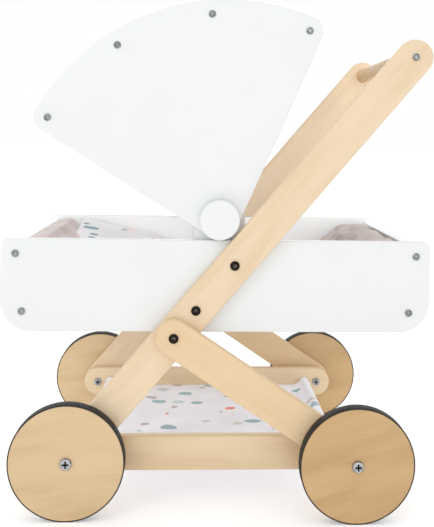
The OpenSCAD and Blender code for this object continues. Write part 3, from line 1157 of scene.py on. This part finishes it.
@dataclass
class ClothStrip:
    """A strip of cloth that follows a line in the side view and reaches across the pram."""

    name: str
    line: list[Point]
    half_width: float
    thickness: float
    columns: int = 72
    relief: Callable[[float, float], float] = lambda along, across: 0.0
    spread: Callable[[float, float], float] = lambda along, across: 0.0

    def lengths(self) -> list[float]:
        """The distance along the line to each of its points."""
        marks = [0.0]
        for (x0, z0), (x1, z1) in zip(self.line, self.line[1:]):
            marks.append(marks[-1] + math.hypot(x1 - x0, z1 - z0))
        return marks

    def weave(self) -> bpy.types.Object:
        """Lays the strip out with its flat cut as its map, then gives the cloth its thickness.

        Returns:
            The strip, without its finish.
        """
        rows = len(self.line)
        bpy.ops.mesh.primitive_grid_add(x_subdivisions=rows - 1, y_subdivisions=self.columns - 1)
        obj = named(self.name)
        marks = self.lengths()
        mesh = obj.data
        flat = {}
        for vertex in mesh.vertices:
            row = round((vertex.co.x + 1) / 2 * (rows - 1))
            across = vertex.co.y
            along = marks[row]
            x, z = self.line[row]
            ahead, behind = self.line[min(row + 1, rows - 1)], self.line[max(row - 1, 0)]
            run = Vector((ahead[0] - behind[0], ahead[1] - behind[1])).normalized()
            rise = self.relief(along, across)
            y = across * (self.half_width + self.spread(along, across))
            vertex.co = (x - run.y * rise, y, z + run.x * rise)
            flat[vertex.index] = (along, y)
        for loop in mesh.loops:
            mesh.uv_layers[0].data[loop.index].uv = flat[loop.vertex_index]
        modify(obj, "SOLIDIFY", thickness=self.thickness, offset=0.0, use_rim=True)
        smooth(obj, 60)
        return obj


def fabric_noise(x: float, y: float, size: float, seed: float) -> float:
    """A smooth random height between about -1 and 1, for creases of a given size."""
    return noise.noise(Vector((x / size, y / size, seed)))


@dataclass
class ShelfCloth:
    """The cloth shelf: one sheet with a sewn sleeve round each of its two rods."""

    thickness: float = 1.2 * MM
    level: float = 60.6 * MM
    seam_from_rod: float = 15 * MM
    sag: float = 1.6 * MM
    wrap_steps: int = 26

    def line(self) -> list[Point]:
        """The cloth's line: out of one seam, round a rod, across, round the other, to its seam."""
        front_low, front_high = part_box("shelf_rod_front")
        rear_low, rear_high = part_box("shelf_rod_rear")
        wrap = (front_high.x - front_low.x) / 2 + self.thickness * 0.7
        front = ((front_low.x + front_high.x) / 2, (front_low.z + front_high.z) / 2)
        rear = ((rear_low.x + rear_high.x) / 2, (rear_low.z + rear_high.z) / 2)
        under = self.level - self.thickness * 1.05
        front_seam = (front[0] + self.seam_from_rod, self.level)
        rear_seam = (rear[0] - self.seam_from_rod, self.level)
        points = [(front_seam[0] + 6 * MM, under), (front_seam[0], under)]
        points += arc(front, wrap, 290, 62, self.wrap_steps)
        points += self.ease(points[-1], front_seam)
        steps = 56
        gap = rear_seam[0] - front_seam[0]
        points += [(front_seam[0] + gap * i / steps, self.level) for i in range(1, steps)]
        climb = self.ease(arc(rear, wrap, 118, 118, 1)[0], rear_seam)
        points += [rear_seam] + climb[-2::-1]
        points += arc(rear, wrap, 118, -110, self.wrap_steps)
        points += [(rear_seam[0], under), (rear_seam[0] - 6 * MM, under)]
        return points

    def ease(self, top: Point, seam: Point) -> list[Point]:
        """The slope from a rod's top down to its seam, drawn in to a shallow hollow."""
        steps = 8
        slope = []
        for i in range(1, steps + 1):
            t = i / steps
            sink = t**0.62
            slope.append((top[0] + (seam[0] - top[0]) * t, top[1] + (seam[1] - top[1]) * sink))
        return slope

    def build(self) -> None:
        """Lays the sheet, with a slight sag and soft puckers from its seams."""
        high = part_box("shelf_cloth")[1]
        line = self.line()
        strip = ClothStrip("shelf_cloth_sheet", line, high.y - 0.8 * MM, self.thickness)
        total = strip.lengths()[-1]

        def relief(along: float, across: float) -> float:
            """Sag in the middle, puckers near the seams and a slow ripple."""
            t = along / total
            middle = max(0.0, math.sin(math.pi * min(max((t - 0.12) / 0.76, 0.0), 1.0)))
            near_seam = math.exp(-((min(abs(t - 0.135), abs(t - 0.865)) / 0.05) ** 2))
            pucker = fabric_noise(along * 0.25, across * high.y, 9 * MM, 3.0)
            ripple = fabric_noise(along, across * high.y, 70 * MM, 8.0)
            flat_part = 1.0 if 0.13 < t < 0.87 else 0.0
            droop = -self.sag * middle * (1 - 0.5 * across * across)
            return droop + flat_part * (0.5 * MM * pucker * near_seam + 0.9 * MM * ripple * middle)

        strip.relief = relief
        obj = strip.weave()
        dress(obj, Finishes.PRINT_SHELF)
        fit(obj, "frame", Finishes.PRINT_SHELF, "shelf_cloth")


# ---------------------------------------------------------------- hood


@dataclass
class Hood:
    """Two white fans on a pivot, four bars between them, a cloth cover and the pivot's discs."""

    apex: float = 23 * MM
    corner: float = 16 * MM
    edge: float = 1.4 * MM
    cloth_thickness: float = 1.2 * MM
    dip: float = 3.0 * MM
    pivot: Point = field(init=False)
    middle: Point = field(init=False)
    bars: list[Point] = field(init=False)

    def __post_init__(self) -> None:
        """Reads the pivot and the bars' middles from the frame."""
        joint = next(j for j in frame["joints"] if j["name"] == "hood_fold")
        self.pivot = (joint["pos_m"][0], joint["pos_m"][2])
        self.bars = []
        for number in range(1, 5):
            low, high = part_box(f"hood_bar_{number}")
            self.bars.append(((low.x + high.x) / 2, (low.z + high.z) / 2))
        self.middle = self.middle_of_bars()

    def middle_of_bars(self) -> Point:
        """The middle of the circle on which the bars lie, a little behind the pivot."""
        (ax, az), (bx, bz), (cx, cz) = self.bars[0], self.bars[1], self.bars[3]
        a, b, c = ax * ax + az * az, bx * bx + bz * bz, cx * cx + cz * cz
        twice = 2 * (ax * (bz - cz) + bx * (cz - az) + cx * (az - bz))
        return (
            (a * (bz - cz) + b * (cz - az) + c * (az - bz)) / twice,
            (a * (cx - bx) + b * (ax - cx) + c * (bx - ax)) / twice,
        )

    def heading(self, bar: Point) -> float:
        """The direction from the middle of the arc to a bar, in degrees."""
        return math.degrees(math.atan2(bar[1] - self.middle[1], bar[0] - self.middle[0]))

    def reach(self) -> float:
        """The distance from the middle of the arc to the bars."""
        return math.hypot(self.bars[0][0] - self.middle[0], self.bars[0][1] - self.middle[1])

    def edge_slope(self, bar: Point, way: int) -> float:
        """The slope of the straight edge that touches the apex and a corner, in degrees."""
        run_x, run_z = bar[0] - self.pivot[0], bar[1] - self.pivot[1]
        turn = math.asin((self.apex - self.corner) / math.hypot(run_x, run_z))
        return math.degrees(math.atan2(run_z, run_x) + way * turn)

    def outline(self) -> list[Point]:
        """The fan: a round apex, two straight edges, round corners and the outer arc."""
        front, rear = self.edge_slope(self.bars[0], -1), self.edge_slope(self.bars[3], 1)
        first, last = self.heading(self.bars[0]), self.heading(self.bars[3])
        return (
            arc(self.pivot, self.apex, front + 90, rear + 270, 30)
            + arc(self.bars[3], self.corner, rear - 90, last, 12)
            + arc(self.middle, self.reach() + self.corner, last, first, 90)[1:-1]
            + arc(self.bars[0], self.corner, first, front + 90, 12)
        )

    def build(self) -> None:
        """Builds the fans, discs, bars and cover on the hood's body."""
        for side in SIDES:
            node = f"hood_side_{side}"
            low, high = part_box(node)
            fan = Board(f"{node}_fan", self.outline(), low.y, high.y, self.edge).saw()
            dress(fan, Finishes.WHITE)
            fit(fan, "hood", Finishes.WHITE, node)
            self.build_disc(f"hood_disc_{side}")
        for number in range(1, 5):
            Rod(f"hood_bar_{number}", body="hood").build()
        self.build_cover()

    def build_disc(self, node: str) -> None:
        """Turns one white disc over a pivot, its outer edge rounded."""
        low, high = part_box(node)
        outline = arc(self.pivot, (high.x - low.x) / 2, 0, 360, 72)[:-1]
        disc = Board(f"{node}_cap", outline, low.y, high.y, 1.6 * MM, 4).saw()
        dress(disc, Finishes.WHITE)
        fit(disc, "hood", Finishes.WHITE, node)

    def cover_line(self) -> list[Point]:
        """The cover's line over the bars, straight between them and wrapped round the end ones."""
        bar_low, bar_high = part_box("hood_bar_1")
        wrap = (bar_high.x - bar_low.x) / 2 + 0.3 * MM + self.cloth_thickness / 2
        step = (self.heading(self.bars[0]) - self.heading(self.bars[3])) / 3
        points: list[Point] = []
        for i, bar in enumerate(self.bars):
            heading = self.heading(bar)
            start = heading + (100 if i == 0 else step / 2)
            end = heading - (100 if i == 3 else step / 2)
            turn = arc(bar, wrap, start, end, 14 if i in (0, 3) else 6)
            if points:
                (x0, z0), (x1, z1) = points[-1], turn[0]
                spans = 22
                points += [
                    (x0 + (x1 - x0) * k / spans, z0 + (z1 - z0) * k / spans)
                    for k in range(1, spans)
                ]
            points += turn
        return points

    def build_cover(self) -> None:
        """Stretches the cover over the bars, with a shallow dip in each of its three panels."""
        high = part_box("hood_cloth")[1]
        line = self.cover_line()
        strip = ClothStrip("hood_cover_cloth", line, high.y - 1.0 * MM, self.cloth_thickness)
        marks = strip.lengths()
        tops = [
            min(range(len(line)), key=lambda k: math.hypot(line[k][0] - x, line[k][1] - z))
            for x, z in (self.on_bar(bar) for bar in self.bars)
        ]
        stops = [marks[k] for k in tops]

        def relief(along: float, across: float) -> float:
            """The dip between two bars, less towards the sides, and faint puckers."""
            for start, end in zip(stops, stops[1:]):
                if start < along < end:
                    t = (along - start) / (end - start)
                    bow = math.sin(math.pi * t) ** 2
                    pucker = fabric_noise(along, across * high.y, 34 * MM, 5.0)
                    return bow * (self.dip * (0.35 * abs(across) ** 3 - 1) + 0.8 * MM * pucker)
            return 0.0

        strip.relief = lambda along, across: -relief(along, across)
        obj = strip.weave()
        dress(obj, Finishes.PRINT_HOOD)
        fit(obj, "hood", Finishes.PRINT_HOOD, "hood_cloth")

    def on_bar(self, bar: Point) -> Point:
        """The point of the cover's line straight out from the middle over a bar."""
        heading = math.radians(self.heading(bar))
        out = self.reach() + 9.9 * MM
        return (
            self.middle[0] + out * math.cos(heading), self.middle[1] + out * math.sin(heading)
        )


# ---------------------------------------------------------------- bedding


@dataclass
class Stuffed:
    """A padded piece: its outline is filled, blown up a little by cloth simulation and smoothed."""

    node: str
    name: str
    outline: list[Point]
    half_y: float
    finish: Finish
    fill: float
    pressure: float = 4.0
    cap: float = 7 * MM
    voxel: float = 5.5 * MM
    corner: float = 12 * MM
    soften: int = 2
    lean: float = 0.0
    last_frame: int = 20

    def build(self) -> None:
        obj = Board(self.name, self.outline, -self.half_y, self.half_y, self.corner, 3).saw()
        modify(obj, "REMESH", mode="VOXEL", voxel_size=self.voxel)
        self.stuff(obj)
        modify(obj, "SMOOTH", factor=0.5, iterations=self.soften)
        modify(obj, "SUBSURF", levels=1, render_levels=1)
        self.tip(obj)
        smooth(obj, 180)
        dress(obj, self.finish)
        fit(obj, "frame", self.finish, self.node)

    def tip(self, obj: bpy.types.Object) -> None:
        """Lets the piece sink by its lean towards the left side, most at its top."""
        low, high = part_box(self.node)
        for vertex in obj.data.vertices:
            sink = self.lean * (high.y - vertex.co.y) / (high.y - low.y)
            vertex.co.z -= sink * max(0.0, vertex.co.z - low.z) / (high.z - low.z)

    def stuff(self, obj: bpy.types.Object) -> None:
        """Runs the cloth under pressure and keeps each point within the cap of its start."""
        start = [v.co.copy() for v in obj.data.vertices]
        cloth = obj.modifiers.new("stuffing", "CLOTH")
        cloth.settings.use_pressure = True
        cloth.settings.uniform_pressure_force = self.pressure
        cloth.settings.effector_weights.gravity = 0
        cloth.settings.tension_stiffness = 12
        cloth.settings.compression_stiffness = 12
        cloth.settings.bending_stiffness = 0.4
        cloth.point_cache.frame_start = 1
        cloth.point_cache.frame_end = self.last_frame
        scene = bpy.context.scene
        for number in range(1, self.last_frame + 1):
            scene.frame_set(number)
        shaped = obj.evaluated_get(bpy.context.evaluated_depsgraph_get()).data
        moved = [v.co.copy() for v in shaped.vertices]
        obj.modifiers.remove(cloth)
        scene.frame_set(1)
        for vertex, a, b in zip(obj.data.vertices, start, moved):
            shift = b - a
            if shift.length > self.cap:
                shift *= self.cap / shift.length
            vertex.co = a + shift


@dataclass
class Blanket:
    """The blanket pushed to the foot of the tray in a soft heap of folds."""

    node: str = "blanket"
    thickness: float = 2.4 * MM
    cells: int = 110
    to_board: float = 9 * MM
    # the heap's profile, in millimetres
    foot: float = 116
    slope: float = 58
    crest: float = 47
    swell_from: float = 178
    swell_run: float = 24
    swell: float = 14
    top: float = 60
    folds: tuple[tuple[float, float, float, float, float, float], ...] = (
        # from x, y to x, y, then height and half-width, all in millimetres
        (150, -110, 186, 112, 9, 13),
        (196, -112, 204, 30, 7, 11),
        (170, 10, 214, 116, 10, 12),
        (128, -60, 158, 100, 8, 12),
        (206, 40, 186, 112, 6, 9),
        (140, -116, 206, -60, 8, 12),
        (176, -60, 206, 10, 7, 10),
    )

    def height(self, x: float, y: float) -> float:
        """The heap's height over its base, in millimetres, at a point in millimetres."""
        rise = min(max((x - self.foot) / self.slope, 0.0), 1.0)
        against_board = min(max((x - self.swell_from) / self.swell_run, 0.0), 1.0)
        mound = self.crest * rise ** 0.8 + self.swell * against_board
        mound *= 1 - 0.04 * ((y - 40) / 150) ** 2
        for x0, y0, x1, y1, tall, wide in self.folds:
            run = Vector((x1 - x0, y1 - y0))
            t = min(max(Vector((x - x0, y - y0)).dot(run) / run.length_squared, 0.0), 1.0)
            gap = math.hypot(x - x0 - run.x * t, y - y0 - run.y * t)
            mound += tall * math.exp(-((gap / wide) ** 2)) * (0.4 + 0.6 * rise)
        mound += 3.2 * fabric_noise(x, y, 34, 2.0) + 1.4 * fabric_noise(x, y, 13, 6.0)
        return min(mound, self.top + 0.35 * (mound - self.top))

    def build(self) -> None:
        """Lays the grid, raises the heap and tucks its edges down."""
        low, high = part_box(self.node)
        middle = (low + high) / 2
        bpy.ops.mesh.primitive_grid_add(
            x_subdivisions=self.cells, y_subdivisions=self.cells, size=1,
            location=(middle.x, middle.y, low.z),
        )
        obj = named("blanket_heap")
        obj.scale = (high.x - low.x, high.y - low.y, 1)
        settle(obj)
        for vertex in obj.data.vertices:
            x, y = vertex.co.x / MM, vertex.co.y / MM
            inset = min(vertex.co.x - low.x, vertex.co.y - low.y, high.y - vertex.co.y)
            tuck = min(inset / (12 * MM), 1.0)
            roll = math.sqrt(max(0.0, 1 - (1 - tuck) ** 2))
            vertex.co.x += self.to_board * max(0.0, (x - 190) / 24)
            vertex.co.z = low.z + max(1.5, self.height(x, y)) * MM * roll
        modify(obj, "SMOOTH", factor=0.5, iterations=2)
        modify(obj, "SOLIDIFY", thickness=self.thickness, offset=-1.0)
        smooth(obj, 180)
        dress(obj, Finishes.TAUPE)
        fit(obj, "frame", Finishes.TAUPE, self.node)


@dataclass
class Bedding:
    """The mattress, the pillow at the head, the printed cover and the blanket."""

    def build(self) -> None:
        """Builds each soft piece inside the space that its CAD solid holds."""
        low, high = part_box("mattress")
        corners = [(low.x, low.z), (high.x, low.z), (high.x, high.z), (low.x, high.z)]
        inset = 3 * MM
        mattress = [
            (x + (inset if x < 0 else -inset), z + (inset if z < high.z else -inset))
            for x, z in corners
        ]
        Stuffed("mattress", "mattress_pad", mattress, high.y - inset, Finishes.MAUVE, 0.7,
                cap=3 * MM, voxel=6 * MM, corner=8 * MM).build()
        low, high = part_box("pillow")
        pillow = [
            (low.x + 8 * MM, low.z + 2 * MM), (high.x - 2 * MM, low.z + 2 * MM),
            (high.x - 2 * MM, low.z + 41 * MM), (high.x - 46 * MM, high.z - 7 * MM),
            (high.x - 53 * MM, high.z + 3 * MM), (low.x - 1 * MM, high.z + 3 * MM),
            (low.x - 3 * MM, high.z - 2 * MM),
        ]
        Stuffed("pillow", "pillow_pad", pillow, high.y - 1 * MM, Finishes.MAUVE, 0.7,
                cap=2 * MM, voxel=3.5 * MM, corner=4 * MM, soften=1).build()
        low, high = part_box("cover")
        cover = [
            (low.x + 47 * MM, low.z + 2 * MM), (high.x - 2 * MM, low.z + 2 * MM),
            (high.x - 2 * MM, low.z + 19 * MM), (high.x - 48 * MM, low.z + 46 * MM),
            (high.x - 117 * MM, low.z + 61 * MM), (low.x + 6 * MM, high.z + 1 * MM),
            (low.x + 1 * MM, high.z - 6 * MM), (low.x + 47 * MM, low.z + 45 * MM),
        ]
        Stuffed("cover", "cover_quilt", cover, high.y - 2 * MM, Finishes.PRINT_COVER, 0.5,
                cap=2 * MM, voxel=4 * MM, corner=2 * MM, soften=1, lean=30 * MM).build()
        Blanket().build()


# ---------------------------------------------------------------- studio


@dataclass(frozen=True)
class Softbox:
    """A square soft light that faces the pram.

    A fill light names the pieces that it passes, and may name the only ones that it reaches. Both
    are parts of names, and an empty part stands for every piece.
    """

    name: str
    at: tuple[float, float, float]
    size: float
    power: float
    skips: tuple[str, ...] = ()
    only: tuple[str, ...] = ("",)

    def hang(self) -> None:
        """Hangs the light and turns it to the middle of the pram."""
        data = bpy.data.lights.new(self.name, "AREA")
        data.shape = "SQUARE"
        data.size = self.size
        data.energy = self.power
        lamp = bpy.data.objects.new(self.name, data)
        bpy.context.scene.collection.objects.link(lamp)
        lamp.location = self.at
        aim = Vector((0.0, 0.0, 0.3)) - lamp.location
        lamp.rotation_euler = aim.to_track_quat("-Z", "Y").to_euler()
        if self.skips:
            self.pass_through(lamp)

    def pass_through(self, lamp: bpy.types.Object) -> None:
        """Lets a fill light pass the pieces it skips, so that it reaches the inside.

        Args:
            lamp: The light.
        """
        inside = bpy.data.collections.new(f"{self.name}_reach")
        for obj in bpy.context.scene.objects:
            skipped = any(part in obj.name for part in self.skips)
            if obj.type == "MESH" and not skipped and any(part in obj.name for part in self.only):
                inside.objects.link(obj)
        lamp.light_linking.receiver_collection = inside
        lamp.light_linking.blocker_collection = inside


@dataclass
class Studio:
    """The floor, the lights and the camera."""

    camera_at: Vector = field(default_factory=lambda: Vector((-0.0299, -1.0837, 0.4316)))
    turn: float = 3.06
    roll: float = 0.94
    lens: float = 55.6
    shift: Point = (-0.0396, -0.2413)
    room_light: float = 1.0
    floor_glow: float = 0.25
    softboxes: tuple[Softbox, ...] = (
        Softbox("key_softbox", (-1.5, -2.0, 1.9), 0.7, 7.0),
        Softbox("front_softbox", (0.5, -2.7, 0.95), 1.2, 3.0),
    )
    fills: tuple[Softbox, ...] = (
        Softbox("near_fill", (0.0, -2.6, 0.95), 1.8, 21.0, ("_left", "studio", "grip", "set")),
        Softbox("far_fill", (0.0, 2.6, 0.95), 1.8, 14.0, ("_right", "studio", "grip", "set")),
        Softbox("tray_fill", (0.0, -2.6, 0.95), 1.8, 14.0, ("_left", "set"),
                ("tray", "mattress", "pillow", "cover", "blanket")),
    )

    def build(self) -> None:
        """Builds the whole studio and sets how the light is read."""
        self.lay_floor()
        self.light_room()
        for softbox in self.softboxes:
            softbox.hang()
        self.place_camera()
        settings = bpy.context.scene.view_settings
        settings.view_transform = "Standard"
        settings.look = "None"

    def fill_inside(self) -> None:
        """Hangs the fill lights, once every piece of the pram is there."""
        for softbox in self.fills:
            softbox.hang()

    def lay_floor(self) -> None:
        """A wide pale light table, which glows a little under the pram."""
        bpy.ops.mesh.primitive_grid_add(x_subdivisions=4, y_subdivisions=4, size=60)
        floor = named("studio_floor")
        sheet = bpy.data.materials.new("opal_acrylic_sheet")
        sheet.use_nodes = True
        shader = sheet.node_tree.nodes["Principled BSDF"].inputs
        haze = add_node(sheet.node_tree, "TexNoise", {"Scale": per(600), "Detail": 2.0})
        tone = ramp(sheet.node_tree, haze.outputs["Fac"], [(0.3, "#f5f5f5"), (0.7, "#f9f9f9")])
        sheet.node_tree.links.new(tone, shader["Base Color"])
        shader["Roughness"].default_value = 0.9
        shader["Specular IOR Level"].default_value = 0.1
        shader["Emission Color"].default_value = (1.0, 1.0, 1.0, 1.0)
        shader["Emission Strength"].default_value = self.floor_glow
        floor.data.materials.append(sheet)

    def light_room(self) -> None:
        """An even white room."""
        world = bpy.data.worlds.new("white_room")
        bpy.context.scene.world = world
        world.use_nodes = True
        background = world.node_tree.nodes["Background"].inputs
        background["Color"].default_value = (1.0, 1.0, 1.0, 1.0)
        background["Strength"].default_value = self.room_light

    def place_camera(self) -> None:
        """A level camera in front of the left side, its view shifted down to the pram."""
        data = bpy.data.cameras.new("camera")
        data.lens = self.lens
        data.shift_x, data.shift_y = self.shift
        camera = bpy.data.objects.new("camera", data)
        bpy.context.scene.collection.objects.link(camera)
        camera.matrix_world = (
            Matrix.Translation(self.camera_at)
            @ Matrix.Rotation(math.radians(-self.turn), 4, "Z")
            @ Matrix.Rotation(math.radians(90), 4, "X")
            @ Matrix.Rotation(math.radians(self.roll), 4, "Z")
        )
        bpy.context.scene.camera = camera


def main() -> None:
    """Builds the pram, one sub-assembly after the other, and the studio round it."""
    logging.basicConfig(level=logging.INFO, format="%(message)s")
    studio = Studio()
    studio.build()
    BoardFrame().build()
    Tray().build()
    # Both wheel finishes are darker copies of the arm's veneer, and the rear one is darkest: partly their
    # own tone, partly painted shade.
    for place, finish in (
        ("front_left", Finishes.FRONT_WHEEL), ("front_right", Finishes.FRONT_WHEEL),
        ("rear_left", Finishes.REAR_WHEEL), ("rear_right", Finishes.REAR_WHEEL),
    ):
        Wheel(place, finish).build()
    Hood().build()
    ShelfCloth().build()
    Bedding().build()
    Fasteners().build()
    studio.fill_inside()


if __name__ == "__main__":
    main()
